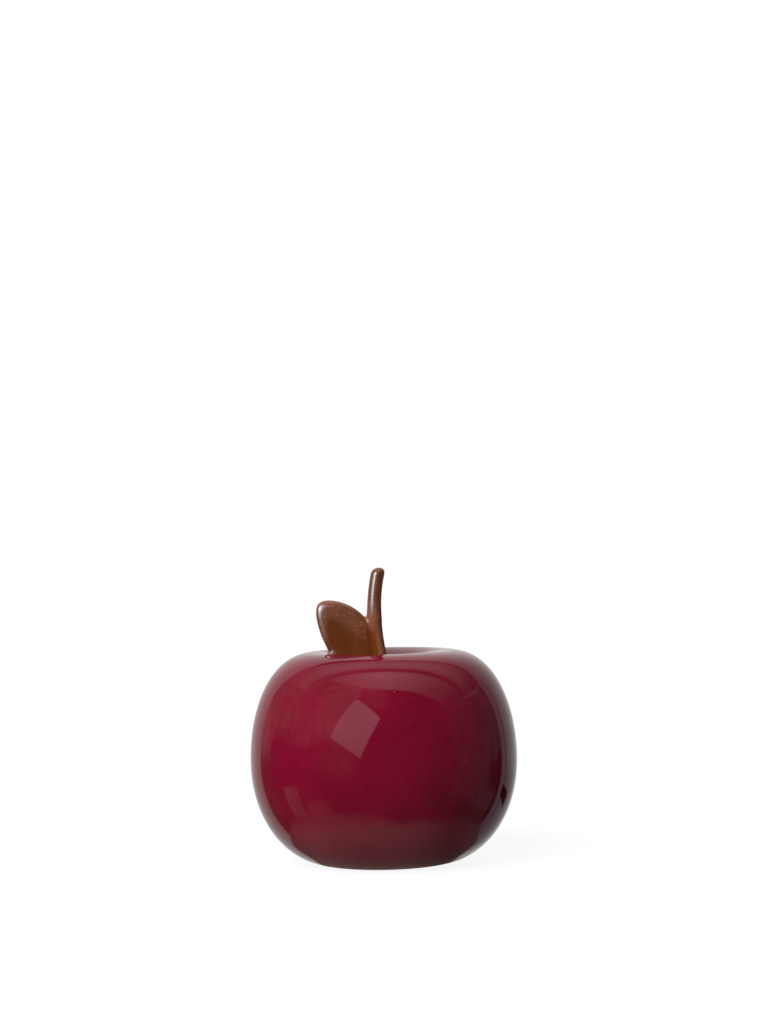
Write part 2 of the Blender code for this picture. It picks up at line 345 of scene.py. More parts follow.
def specks(tree, spacing, size, share):
    # Small round spots: one in each cell of the pattern, kept in only a share of the cells
    cells = node(tree, "TexVoronoi", {"Vector": objectPlace(tree), "Scale": 1 / (spacing * mm)})
    near = ramp(tree, cells.outputs["Distance"], 0.6 * size / spacing, size / spacing, 1.0, 0.0)
    colour = node(tree, "SeparateColor", {"Color": cells.outputs["Color"]})
    return times(tree, near, sums(tree, "LESS_THAN", colour.outputs[0], share))


def bothSpecks(tree, kinds):
    small, large = (specks(tree, *kind) for kind in kinds)
    return sums(tree, "MAXIMUM", small, large)


def bump(tree, height, depth, normal=None):
    inputs = {"Height": height, "Distance": depth * mm, "Strength": 1.0}
    if normal:
        inputs["Normal"] = normal
    return node(tree, "Bump", inputs).outputs["Normal"]


def painted(tree, name):
    return node(tree, "Attribute", {}, attribute_name=name).outputs["Fac"]


def show(tree, shading):
    node(tree, "OutputMaterial", {"Surface": shading.outputs[0]})


# Red glaze over pale clay

glaze = {
    "deep": (0.215, 0.0012, 0.021, 1),
    "bright": (0.255, 0.0022, 0.027, 1),
    "thin": (0.30, 0.028, 0.022, 1),
    "speck": (0.50, 0.16, 0.14, 1),
    "clay": (0.56, 0.47, 0.37, 1),
    "clayDark": (0.47, 0.38, 0.29, 1),
    "roughness": 0.06,
    "clayRoughness": 0.82,
    "clouds": (24, 3),  # size in millimetres and detail, here and below
    "ripple": (9.0, 1.5),
    "rippleDepth": 0.022,
    "thinPatches": (3, 3),
    "clayPatches": (6, 4),
    "grain": (0.35, 4),
    "poreDepth": 0.06,
    "specks": ((4.5, 0.26, 0.14), (9.0, 0.44, 0.14)),  # spacing, size, and the share of them kept
    "speckHeight": 0.02,
    "edgePatches": (4, 3),
    "edgeWander": 1.4,
    "edgeSoftness": 0.12,
}


def makeRedGlaze():
    material, tree, shader = newMaterial("red glaze", glaze["roughness"])
    clouds = ramp(tree, noise(tree, *glaze["clouds"]), 0.35, 0.65)
    colour = blend(tree, clouds, glaze["deep"], glaze["bright"])
    patches = ramp(tree, noise(tree, *glaze["thinPatches"]), 0.2, 0.6, 0.6, 1.0)
    colour = blend(tree, times(tree, painted(tree, "thinGlaze"), patches), colour, glaze["thin"])
    spots = bothSpecks(tree, glaze["specks"])
    colour = blend(tree, spots, colour, glaze["speck"])
    wander = swing(tree, noise(tree, *glaze["edgePatches"]), glaze["edgeWander"])
    edge = glaze["edgeSoftness"]
    bare = ramp(tree, plus(tree, painted(tree, "bareClay"), wander), -edge, edge)
    clay = ramp(tree, noise(tree, *glaze["clayPatches"]), 0.3, 0.7)
    clay = blend(tree, clay, glaze["clayDark"], glaze["clay"])
    ripples = bump(tree, noise(tree, *glaze["ripple"]), glaze["rippleDepth"])
    pores = bump(tree, times(tree, noise(tree, *glaze["grain"]), bare), glaze["poreDepth"], ripples)
    feed(tree, shader, {"Base Color": blend(tree, bare, colour, clay),
                        "Roughness": mix(tree, bare, glaze["roughness"], glaze["clayRoughness"]),
                        "Normal": bump(tree, spots, glaze["speckHeight"], pores)})
    return material


# Brown glaze: a lustrous skin where it is thin, saturated and plain where it has pooled. In the
# corner by the stem and on the stem's left flank the pooled colour is partly real pooling and partly
# painted shade, and a paler strip on the stem's right foot is painted sheen

bark = {
    "thin": (0.235, 0.066, 0.0165, 1),
    "thinDark": (0.185, 0.050, 0.0115, 1),
    # Colour of pooled glaze, also used as painted shade in the corner by the stem and on its left
    # flank
    "pooled": (0.146, 0.035, 0.0022, 1),
    "rim": (0.36, 0.135, 0.036, 1),
    "dull": (0.27, 0.083, 0.024, 1),
    # Painted sheen: a paler colour for the right side of the stem's foot, standing in for light
    # falling there
    "pale": (0.31, 0.125, 0.068, 1),
    "speck": (0.46, 0.25, 0.16, 1),
    "roughness": 0.24,
    "pooledRoughness": 0.16,
    "grainRoughness": 0.10,
    "dullRoughness": 0.75,
    "lustre": (0.85, 0.03),  # where the glaze is thin and where it has pooled, also in the painted shade by the stem
    "lustreRoughness": 0.18,
    "lustreIor": 1.7,
    "grain": (0.32, 3),
    "clouds": (3.2, 4),
    "wander": (0.8, 0.9),  # how far clouds and grain move the pool's edge
    "specks": ((0.85, 0.24, 0.45), (1.7, 0.34, 0.3)),
    "speckStrength": (0.75, 0.12),
    "speckHeight": 0.008,
    "rolling": (3.5, 1),
    "rollingDepth": 0.03,
    "grainDepth": 0.006,
}


def makeBrownGlaze():
    material, tree, shader = newMaterial("brown glaze", bark["roughness"])
    grain = noise(tree, *bark["grain"])
    clouds = noise(tree, *bark["clouds"])
    wander = plus(tree, swing(tree, clouds, bark["wander"][0]), swing(tree, grain, bark["wander"][1]))
    pooled = ramp(tree, plus(tree, painted(tree, "pooledGlaze"), wander), 0.1, 0.9)
    dull = painted(tree, "dullGlaze")
    colour = blend(tree, ramp(tree, clouds, 0.3, 0.7), bark["thinDark"], bark["thin"])
    colour = blend(tree, ramp(tree, dull, 0.5, 1.0), colour, bark["dull"])
    # Pooled glaze, which by the stem also stands for painted shade
    colour = blend(tree, pooled, colour, bark["pooled"])
    # Painted sheen on the right side of the stem's foot
    colour = blend(tree, painted(tree, "paleGlaze"), colour, bark["pale"])
    colour = blend(tree, painted(tree, "thinGlaze"), colour, bark["rim"])
    strength = ramp(tree, pooled, 0.0, 1.0, *bark["speckStrength"])
    spots = times(tree, bothSpecks(tree, bark["specks"]), strength)
    lustre = ramp(tree, pooled, 0.0, 1.0, *bark["lustre"])
    rough = ramp(tree, pooled, 0.0, 1.0, bark["roughness"], bark["pooledRoughness"])
    rough = plus(tree, rough, times(tree, dull, bark["dullRoughness"]))
    rolling = bump(tree, noise(tree, *bark["rolling"]), bark["rollingDepth"])
    pits = times(tree, grain, ramp(tree, pooled, 0.0, 1.0, 1.0, 0.3))
    pitted = bump(tree, pits, bark["grainDepth"], rolling)
    feed(tree, shader, {
        "Base Color": blend(tree, spots, colour, bark["speck"]),
        "Coat Weight": times(tree, lustre, ramp(tree, dull, 0.0, 1.0, 1.0, 0.0)),
        "Coat Roughness": bark["lustreRoughness"],
        "Coat IOR": bark["lustreIor"],
        "Roughness": plus(tree, rough, ramp(tree, grain, 0.25, 0.75, 0.0, bark["grainRoughness"])),
        "Normal": bump(tree, spots, bark["speckHeight"], pitted),
        "Coat Normal": pitted,
    })
    return material


# Soft moulded plug

rubber = {
    "colour": (0.60, 0.58, 0.53, 1),
    "shade": (0.52, 0.50, 0.45, 1),
    "roughness": (0.42, 0.58),
    "clouds": (7, 3),
    "grain": (0.25, 2),
    "grainDepth": 0.012,
    "depth": 1.2,  # how far light goes in, in millimetres
    "softShare": 0.25,
    "softTint": (1.0, 0.85, 0.7),
}


def makeSoftRubber():
    material, tree, shader = newMaterial("soft rubber", sum(rubber["roughness"]) / 2)
    clouds = ramp(tree, noise(tree, *rubber["clouds"]), 0.35, 0.7)
    grain = noise(tree, *rubber["grain"])
    feed(tree, shader, {"Base Color": blend(tree, clouds, rubber["shade"], rubber["colour"]),
                        "Roughness": ramp(tree, grain, 0.2, 0.8, *rubber["roughness"]),
                        "Normal": bump(tree, grain, rubber["grainDepth"]),
                        "Subsurface Weight": rubber["softShare"],
                        "Subsurface Radius": rubber["softTint"],
                        "Subsurface Scale": rubber["depth"] * mm})
    return material


# Body of the apple, with the coin slot behind the stem

shell = {
    "turns": 192,
    "dimpleSteps": 30,
    "sideSteps": 44,
    "innerDimpleSteps": 14,
    "innerSideSteps": 24,
    "slotLength": 36.0,
    "slotWidth": 5.0,
    "slotPlace": 34.0,
    "lip": 1.0,
    "innerLip": 0.5,
    "lipSteps": 8,
    "endSteps": 20,
    "straightSteps": 20,
    "skirt": (5.2, 4.3, 3.5, 2.8, 2.2, 1.7, 1.3),
    "innerSkirt": (1.3, 2.2, 3.2, 4.3, 5.2),
    "clearance": 0.75,
    "glazeEdge": 25.8,
    "glazeDepthInSlot": 2.0,
    "farFromEdge": 5.0,
    "thinFoot": (2.0, 1.6),  # up to this height, and how far out the glaze gets its full thickness
    "thinLip": (1.35, 0.35),  # millimetres outside the slot where it starts, and where it is thinnest
    "thinDepth": (3.7, 1.2),
}
slotStraight = 0.5 * (shell["slotLength"] - shell["slotWidth"])


def shellSection():
    wall = apple["wall"]
    floor = apple["recessDepth"] + wall
    base = roundedPath([
        (apple["footRadius"], 0.0, 0.0),
        (apple["recessMouth"], 0.0, 0.8),
        (apple["recessRadius"], apple["recessDepth"], 1.0),
        (apple["holeRadius"], apple["recessDepth"], 0.5),
        (apple["holeRadius"], floor, 0.5),
        (apple["recessRadius"] + wall, floor, 2.0),
        (apple["recessMouth"] + wall, wall, 2.0),
        (apple["radius"], wall, 0.0),
    ], 6)
    outside = outsideSection(shell["dimpleSteps"], shell["sideSteps"])
    inside = movedInwards(outsideSection(shell["innerDimpleSteps"], shell["innerSideSteps"]), wall)
    floorEnd = base[-2][0]
    cavity = [p for p in reversed(inside) if p[0] > floorEnd or p[1] > apple["bellyHeight"]]
    return outside + base[1:-1] + cavity


def slotSpread(x, y):
    # How far a point, in millimetres, lies outside the slot's outline
    along = max(abs(x) - slotStraight, 0.0)
    return math.hypot(along, y - shell["slotPlace"]) - 0.5 * shell["slotWidth"]


def slotOutline(spread):
    reach = 0.5 * shell["slotWidth"] + spread
    outline = []
    for side in (1, -1):
        for step in range(shell["endSteps"] + 1):
            turn = math.pi * (step / shell["endSteps"] - 0.5 * side)
            outline.append((side * slotStraight + reach * math.cos(turn),
                            shell["slotPlace"] + reach * math.sin(turn)))
        for step in range(1, shell["straightSteps"]):
            x = side * slotStraight * (1 - 2 * step / shell["straightSteps"])
            outline.append((x, shell["slotPlace"] + side * reach))
    return outline


def slotRings():
    # Rings of points from the outside, over the lip and down the wall to the cavity's ceiling
    rings = []

    def addRing(spread, heightAt):
        rings.append([(x, y, float(heightAt(math.hypot(x, y)))) for x, y in slotOutline(spread)])

    for spread in shell["skirt"]:
        addRing(spread, topHeight)
    for step in range(shell["lipSteps"] + 1):
        turn = quarterTurn * (1 - step / shell["lipSteps"])
        depth = shell["lip"] * (1 - math.sin(turn))
        addRing(shell["lip"] * (1 - math.cos(turn)), lambda radius: topHeight(radius) - depth)
    for share in (0.35, 0.7):
        addRing(0.0, lambda radius: (topHeight(radius) - shell["lip"]) * (1 - share)
                + (ceilingHeight(radius) + shell["innerLip"]) * share)
    for step in range(shell["lipSteps"] // 2 + 1):
        turn = quarterTurn * step / (shell["lipSteps"] // 2)
        rise = shell["innerLip"] * (1 - math.sin(turn))
        addRing(shell["innerLip"] * (1 - math.cos(turn)), lambda radius: ceilingHeight(radius) + rise)
    for spread in shell["innerSkirt"]:
        addRing(spread, ceilingHeight)
    return rings


def makeSlotWall():
    rings = slotRings()
    freshStart()
    bpy.ops.mesh.primitive_circle_add(vertices=len(rings[0]), radius=shell["slotWidth"] * mm)
    wall = named("slot wall")
    edit(wall)
    selectAll()
    for i, ring in enumerate(rings):
        if i:
            bpy.ops.mesh.extrude_region_move()
        mesh = bmesh.from_edit_mesh(wall.data)
        mesh.verts.ensure_lookup_table()
        moving = [vert for vert in mesh.verts if vert.select]
        for vert, point in zip(moving, ring):
            vert.co = Vector(point) * mm
        bmesh.update_edit_mesh(wall.data)
    only(wall)
    return wall


def clayShare(x, y, z):
    # Millimetres past the edge of the glaze, over it where negative
    radius, far = math.hypot(x, y), shell["farFromEdge"]
    if z > apple["bellyHeight"]:
        depth = topHeight(radius) - z
        onOutside = depth <= 0.05 and radius >= 45
        return -far if onOutside else max(min(depth - shell["glazeDepthInSlot"], far), -far)
    if radius < sideRadius(z) - 1.0:
        return far
    return max(shell["glazeEdge"] - radius, -far)


def thinShare(x, y, z):
    radius = math.hypot(x, y)
    footHeight, full = shell["thinFoot"]
    if z < footHeight:
        past = radius - shell["glazeEdge"]
        return smooth(1 - past / full) if past > -3 else 0.0
    spread = slotSpread(x, y)
    if z > apple["bellyHeight"] and spread < 2.0:
        lip = smooth(portion(spread, *shell["thinLip"]))
        return lip * smooth(portion(topHeight(radius) - z, *shell["thinDepth"]))
    return 0.0


def makeShell():
    body = spun("apple_shell_glazed", shellSection(), shell["turns"])
    edit(body)
    room = shell["skirt"][0] + shell["clearance"]

    def overSlot(face):
        x, y, z = face.calc_center_median() / mm
        return z > apple["bellyHeight"] and slotSpread(x, y) < room

    pick(body, "faces", overSlot)
    bpy.ops.mesh.delete(type="FACE")
    body = joined([body, makeSlotWall()], body.name)
    edit(body)
    for outer in (True, False):
        def openEdge(edge):
            middle = (edge.verts[0].co + edge.verts[1].co) / 2 / mm
            depth = topHeight(math.hypot(middle.x, middle.y)) - middle.z
            return edge.is_boundary and (depth < 0.5 * apple["wall"]) == outer
        pick(body, "edges", openEdge)
        bpy.ops.mesh.bridge_edge_loops()
    faceOutwards()
    only(body)
    points = [vert.co / mm for vert in body.data.vertices]
    setAttribute(body, "bareClay", [clayShare(*point) for point in points])
    setAttribute(body, "thinGlaze", [thinShare(*point) for point in points])
    finishMesh(body, makeRedGlaze(), 50)
    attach(body, "apple")
    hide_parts("apple_shell")
    return body


# Stem and leaf, luted together and onto the dimple under one coat of glaze

top = {
    "stemRadius": 2.82,
    "stemRise": 34.4,  # over the crest
    "stemBow": (-2.7, -4.1, -0.4),  # sideways, a third up, two thirds up and at the tip
    "stemFlare": 1.2,
    "flareLength": 3.6,
    "tipPower": 2.25,
    "stemSides": 48,
    "stemRings": 40,
    "domeSteps": 8,
    "leafFoot": (-7.3, 73.0),
    "leafLength": 40.0,
    "leafLean": 29.8,
    "upperBulge": 14.75,
    "lowerBulge": 5.55,
    "tipSoftness": 7.7,
    "pillow": 11.0,
    "leafThickness": 4.6,
    "leafSides": 128,
    "leafRings": 48,
    "sunk": 1.5,
    "voxel": 0.24,
    "fitSteps": 6,  # how often the points are moved towards the glazed skin
    "valley": (2.4, 0.9),  # how far glaze fills the corner by the stem, at the notch and below it
    "valleyHeights": (99.5, 96.5),
    "foot": 0.9,
    "footLength": 0.8,
    "poolTop": (-19.6, 100.6, -0.55),  # a place on the upper edge of the pooled glaze and its slope
    "poolLeft": -22.4,
    "poolFade": (6.0, 3.0),
    "poolThinning": (-16.5, -10.5, 0.62),  # where it gets thinner to the right, and how much is left
    "valleyPoolAndShade": (0.9, 1.2, 98.0),  # its distance from the stem, its reach, and how high it goes; pooled glaze in the corner, darkened further as painted shade
    "stemEdge": 0.7,
    "stemFlank": (0.15, -0.70),  # shares of the stem's width where the dark pool, partly painted shade, starts on its left side
    "flankSlope": (90.0, 0.045),  # above this height it gets narrower
    "sheenFlank": (-0.25, 0.20),  # the same shares for the painted sheen, a paler strip that stands in for light on the right side of its foot
    "sheenHeights": (98.0, 93.5),
    "dullStem": (109.0, 100.0),  # heights between which the stem turns from glossy to dull
    "thinRim": (0.93, 1.0),
}
dimpleBottom = apple["crestHeight"] - apple["dimpleDepth"]
stemTop = apple["crestHeight"] + top["stemRise"]


def stemMiddle(height):
    share = portion(height, dimpleBottom, stemTop)
    low, high, tip = top["stemBow"]
    rest = 1 - share
    return 3 * low * rest ** 2 * share + 3 * high * rest * share ** 2 + tip * share ** 3


def stemWidth(height):
    above = np.maximum(height - dimpleBottom, 0.0)
    return top["stemRadius"] + top["stemFlare"] * np.exp(-above / top["flareLength"])


def stemDistance(place):
    x, y, z = place.T
    domeStart = stemTop - top["stemRadius"]
    level = np.minimum(z, domeStart)
    lean = stemMiddle(level + 0.5) - stemMiddle(level - 0.5)
    across = (x - stemMiddle(level) - lean * (z - level)) / np.sqrt(1 + lean ** 2)
    side = np.hypot(across, y)
    power = top["tipPower"]
    radius = stemWidth(level)
    up = np.maximum(z - domeStart, 0.0)
    return radius * ((side / radius) ** power + (up / radius) ** power) ** (1 / power) - radius


def leafFrame():
    lean = math.radians(top["leafLean"])
    along = np.array((-math.sin(lean), math.cos(lean)))
    across = np.array((math.cos(lean), math.sin(lean)))
    middle = across * 0.5 * (top["upperBulge"] - top["lowerBulge"])
    centre = np.array(top["leafFoot"]) + along * 0.5 * top["leafLength"] + middle
    return across, middle, centre


def leafReach(angle):
    # Distance from the leaf's middle to its edge: two arcs that meet in softened tips
    across, middle, _ = leafFrame()
    ray = np.stack((np.cos(angle), np.sin(angle)), axis=-1)
    total = 0.0
    for bulge, side in ((top["upperBulge"], 1), (top["lowerBulge"], -1)):
        arc = (0.25 * top["leafLength"] ** 2 + bulge ** 2) / (2 * bulge)
        towards = middle - across * side * (bulge - arc)
        dot = -(ray @ towards)
        far = dot + np.sqrt(dot * dot - towards @ towards + arc ** 2)
        total = total + far ** -top["tipSoftness"]
    return total ** (-1 / top["tipSoftness"])


def leafSpread(place):
    _, _, centre = leafFrame()
    x, z = place[:, 0] - centre[0], place[:, 2] - centre[1]
    return np.hypot(x, z) / leafReach(np.arctan2(z, x))


def leafLevel(place):
    return leafSpread(place) ** top["pillow"] + (2 * place[:, 1] / top["leafThickness"]) ** 2 - 1


def slopeOf(level, place, step=0.02):
    slopes = []
    for axis in range(3):
        move = np.zeros(3)
        move[axis] = step
        slopes.append((level(place + move) - level(place - move)) / (2 * step))
    return np.stack(slopes, axis=-1)


def leafDistance(place):
    steep = np.linalg.norm(slopeOf(leafLevel, place), axis=1)
    return leafLevel(place) / np.maximum(steep, 0.08)


def aboveDimple(place):
    return place[:, 2] - topHeight(np.hypot(place[:, 0], place[:, 1]))


def glazedDistance(place):
    # Stem and leaf as one skin, with the corner between them filled and a soft foot on the dimple
    stem, leaf = stemDistance(place), leafDistance(place)
    notch, below = top["valley"]
    fill = notch + (below - notch) * smooth(portion(place[:, 2], *top["valleyHeights"]))
    near = np.maximum(fill - np.abs(stem - leaf), 0.0) / fill
    both = np.minimum(stem, leaf) - 0.25 * fill * near ** 2
    return both - top["foot"] * np.exp(-np.maximum(aboveDimple(place), 0.0) / top["footLength"])


def onStem(place, reach=1.0):
    return np.clip(reach - stemDistance(place) / top["stemEdge"], 0.0, 1.0)


def stemSide(place):
    # -1 at the stem's left side and 1 at its right
    return (place[:, 0] - stemMiddle(place[:, 2])) / stemWidth(place[:, 2])


def pooledAndShadedShare(place):
    x, _, z = place.T
    stem = onStem(place)
    startX, startZ, slope = top["poolTop"]
    upper = startZ + slope * np.maximum(x - startX, 0.0) - z
    below = np.clip(upper / top["poolFade"][0] + 0.5, 0.0, 1.0)
    inwards = np.clip((x - top["poolLeft"]) / top["poolFade"][1] + 0.5, 0.0, 1.0)
    start, end, left = top["poolThinning"]
    leafPool = below * inwards * (1 - (1 - left) * portion(x, start, end)) * (1 - stem)
    # The corner between stem and leaf and the stem's left flank: pooled glaze, darkened further as
    # painted shade
    middle, reach, high = top["valleyPoolAndShade"]
    lowEnough = portion(z, high, high - 4.0)
    fromStem = np.abs(stemDistance(place) - middle) * (leafDistance(place) < 2.5)
    valleyPoolAndShade = np.clip(1.6 - 1.2 * fromStem / reach, 0.0, 1.0) * lowEnough
    right, left = top["stemFlank"]
    start, slope = top["flankSlope"]
    right = np.maximum(right - slope * np.maximum(z - start, 0.0), left + 0.1)
    flankPoolAndShade = stem * portion(stemSide(place), right, left) * lowEnough
    return np.maximum(np.maximum(leafPool, valleyPoolAndShade), flankPoolAndShade)


def rimShare(place):
    rim = portion(leafSpread(place), *top["thinRim"])
    return rim ** 2 * portion(stemDistance(place), 0.0, 1.5)


# Painted sheen: the right side of the lower stem is made paler, as painted light
def paintedSheenShare(place):
    right = portion(stemSide(place), *top["sheenFlank"])
    return onStem(place) * right * portion(place[:, 2], *top["sheenHeights"])


def dullShare(place):
    return onStem(place, 1.4) * portion(place[:, 2], *top["dullStem"])


def places(piece):
    found = np.empty(len(piece.data.vertices) * 3)
    piece.data.vertices.foreach_get("co", found)
    return found.reshape(-1, 3) / mm


def putPlaces(piece, moved):
    piece.data.vertices.foreach_set("co", (moved * mm).ravel())
    piece.data.update()


def makeStem():
    freshStart()
    root = dimpleBottom - top["sunk"]
    bpy.ops.mesh.primitive_circle_add(vertices=top["stemSides"], radius=top["stemRadius"] * mm,
                                      fill_type="NGON", location=(0, 0, root * mm))
    stem = named("stem rod")
    settle(stem)
    edit(stem)
    selectAll()
    for _ in range(top["stemRings"]):
        extrude(0, 0, (stemTop - top["stemRadius"] - root) / top["stemRings"])
    turns = [0.95 * quarterTurn * step / top["domeSteps"] for step in range(top["domeSteps"] + 1)]
    for before, after in zip(turns, turns[1:]):
        extrude(0, 0, (math.sin(after) - math.sin(before)) * top["stemRadius"])
        narrower = math.cos(after) / math.cos(before)
        bpy.ops.transform.resize(value=(narrower, narrower, 1))
    faceOutwards()
    only(stem)
    place = places(stem)
    place[:, 0] += stemMiddle(place[:, 2])
    putPlaces(stem, place)
    return stem


def makeLeaf():
    freshStart()
    bpy.ops.mesh.primitive_uv_sphere_add(segments=top["leafSides"], ring_count=top["leafRings"],
                                         radius=mm)
    leaf = named("leaf blade")
    ball = places(leaf)
    angle = np.arctan2(ball[:, 1], ball[:, 0])
    spread = np.hypot(ball[:, 0], ball[:, 1]) ** (2 / top["pillow"]) * leafReach(angle)
    _, _, centre = leafFrame()
    pressed = np.stack((centre[0] + spread * np.cos(angle),
                        -0.5 * top["leafThickness"] * ball[:, 2],
                        centre[1] + spread * np.sin(angle)), axis=-1)
    low = np.hypot(pressed[:, 0], pressed[:, 1])
    pressed[:, 2] = np.maximum(pressed[:, 2], topHeight(low) - top["sunk"])
    putPlaces(leaf, pressed)
    return leaf


def makeTop():
    piece = joined([makeStem(), makeLeaf()], "stem_and_leaf")
    applyModifier(piece, "REMESH", mode="VOXEL", voxel_size=top["voxel"] * mm)
    place = places(piece)
    for _ in range(top["fitSteps"]):
        distance = glazedDistance(place)
        slope = slopeOf(glazedDistance, place)
        steep = np.maximum((slope ** 2).sum(axis=1), 0.05)
        share = portion(aboveDimple(place), -1.1, -0.5)  # what is sunk into the dimple stays
        place = place - (share * np.clip(distance, -1.0, 1.0) / steep)[:, None] * slope
    putPlaces(piece, place)
    for name, share in (("thinGlaze", rimShare), ("pooledGlaze", pooledAndShadedShare),
                        ("paleGlaze", paintedSheenShare), ("dullGlaze", dullShare)):
        setAttribute(piece, name, share(place))
    finishMesh(piece, makeBrownGlaze(), 60)
    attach(piece, "apple")
    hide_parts("stem", "leaf")
    return piece


# Soft plug in the base

plug = {
    "turns": 96,
    "flangeRadius": 18.9,
    "flangeTop": 4.7,
    "flangeThickness": 2.2,
    "neckTop": 13.0,
    "neckRadius": 14.7,
    "mouthRadius": 13.1,
    "neckWall": 1.8,
    "ribHeight": 0.5,
    "ribWidth": 1.6,
    "ribHeights": (8.0, 6.0),
    "ribSteps": 8,
    "taperStart": 9.0,
    "groove": (15.3, 17.2, 0.4),  # inner and outer radius and depth, under the flange
    "gripSize": (21.0, 4.5),
    "gripLow": 0.8,
    "gripRounding": 2.16,
    "gripEdge": 0.8,
    "voxel": 0.26,
}


def plugSection():
    mouth, neck, wall = plug["mouthRadius"], plug["neckRadius"], plug["neckWall"]
    flange, flangeTop = plug["flangeRadius"], plug["flangeTop"]
    underside = flangeTop - plug["flangeThickness"]
    inner, outer, depth = plug["groove"]
    corners = [
        (0.0, flangeTop, 0.0),
        (mouth - 0.5 * wall, flangeTop, 1.6),
        (mouth - wall, plug["neckTop"], 0.45 * wall),
        (mouth, plug["neckTop"], 0.45 * wall),
        (neck, plug["taperStart"], 0.0),
    ]
    for middle in plug["ribHeights"]:
        for step in range(plug["ribSteps"] + 1):
            share = step / plug["ribSteps"]
            out = plug["ribHeight"] * math.sin(math.pi * share)
            corners.append((neck + out, middle + plug["ribWidth"] * (0.5 - share), 0.0))
    corners += [
        (neck, flangeTop, 0.3),
        (flange, flangeTop, 0.4),
        (flange, underside, 0.8),
        (outer, underside, 0.3),
        (outer - 0.3, underside + depth, 0.3),
        (inner + 0.3, underside + depth, 0.3),
        (inner, underside, 0.3),
        (0.0, underside, 0.0),
    ]
    return roundedPath(corners, 5)


def makePlug():
    disc = spun("plug disc", plugSection(), plug["turns"])
    freshStart()
    low, high = plug["gripLow"], plug["flangeTop"] - 0.5 * plug["flangeThickness"]
    middle = 0.5 * (low + high) * mm
    bpy.ops.mesh.primitive_cube_add(size=mm, location=(0, 0, middle),
                                    scale=(*plug["gripSize"], high - low))
    grip = named("plug grip")
    settle(grip)
    edit(grip)
    pick(grip, "edges", lambda edge: (edge.verts[0].co.z > middle) != (edge.verts[1].co.z > middle))
    bpy.ops.mesh.bevel(offset=plug["gripRounding"] * mm, segments=10)
    pick(grip, "edges", lambda edge: all(vert.co.z < middle for vert in edge.verts))
    bpy.ops.mesh.bevel(offset=plug["gripEdge"] * mm, segments=5)
    piece = joined([disc, grip], "soft_plug")
    applyModifier(piece, "REMESH", mode="VOXEL", voxel_size=plug["voxel"] * mm)
    applyModifier(piece, "SMOOTH", factor=0.5, iterations=4)
    finishMesh(piece, makeSoftRubber(), 60)
    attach(piece, "plug")
    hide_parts("stopper")
    return piece


# Floor and studio

studio = {
    "middle": Vector((0.0, 0.0, 0.05)),
    "floorSize": 8.0,
    "floorColour": (0.16, 0.16, 0.155, 1),
    "floorGlow": 0.91,
    "worldLight": 0.03,
    "world": (1.0, 1.0, 1.0, 1),
}


def seenDirectly(tree):
    # 1 for the camera and in what gloss and glass show, 0 for the light on other things
    seen, path = 0.0, node(tree, "LightPath", {})
    for kind in ("Camera", "Glossy", "Transmission"):
        seen = sums(tree, "MAXIMUM", seen, path.outputs["Is " + kind + " Ray"])
    return seen


def makeWorld():
    world = bpy.data.worlds.new("studio")
    bpy.context.scene.world = world
    world.use_nodes = True
    tree = world.node_tree
    level = ramp(tree, seenDirectly(tree), 0.0, 1.0, studio["worldLight"], 1.0)
    feed(tree, tree.nodes["Background"], {"Color": studio["world"], "Strength": level})


def bareMaterial(name):
    material = bpy.data.materials.new(name)
    material.use_nodes = True
    material.node_tree.nodes.clear()
    material.cycles.emission_sampling = "NONE"
    return material, material.node_tree


def makeFloor():
    freshStart()
    bpy.ops.mesh.primitive_plane_add(size=studio["floorSize"])
    floor = named("studio_floor")
    material, tree = bareMaterial("pale floor")
    matt = node(tree, "BsdfDiffuse", {"Color": studio["floorColour"]})
    light = node(tree, "Emission", {"Strength": times(tree, seenDirectly(tree), studio["floorGlow"])})
    show(tree, node(tree, "AddShader", {0: matt.outputs[0], 1: light.outputs[0]}))
    floor.data.materials.append(material)
    floor.visible_glossy = False


def direction(azimuth, elevation):
    # Azimuth 0 is the camera's side and 90 the right
    a, e = math.radians(azimuth), math.radians(elevation)
    return Vector((math.sin(a) * math.cos(e), -math.cos(a) * math.cos(e), math.sin(e)))


def hideFrom(card, *rays):
    for kind in rays:
        setattr(card, "visible_" + kind, False)


def glossCard(name):
    # Makes the new object one that only gloss shows, with a material still to be filled
    card = named(name)
    hideFrom(card, "camera", "diffuse", "transmission", "volume_scatter", "shadow")
    material, tree = bareMaterial(name)
    card.data.materials.append(material)
    return card, tree


def glow(tree, colour, level):
    return node(tree, "Emission", {"Color": colour, "Strength": level})


def axes(tree, place=None):
    return node(tree, "SeparateXYZ", {"Vector": place or objectPlace(tree)}).outputs


def inPlan(tree, operation, x, y, other=(0, 0)):
    # One number from a place seen from above, and another place
    inputs = {0: node(tree, "CombineXYZ", {0: x, 1: y}).outputs[0], 1: (*other, 0)}
    return node(tree, "VectorMath", inputs, operation=operation).outputs["Value"]


def azimuthOf(tree, x, y):
    return times(tree, sums(tree, "ARCTAN2", x, times(tree, y, -1.0)), degrees)


def between(tree, value, low, high, soft):
    rising = ramp(tree, value, low - 0.5 * soft, low + 0.5 * soft)
    return times(tree, rising, ramp(tree, value, high - 0.5 * soft, high + 0.5 * soft, 1.0, 0.0))


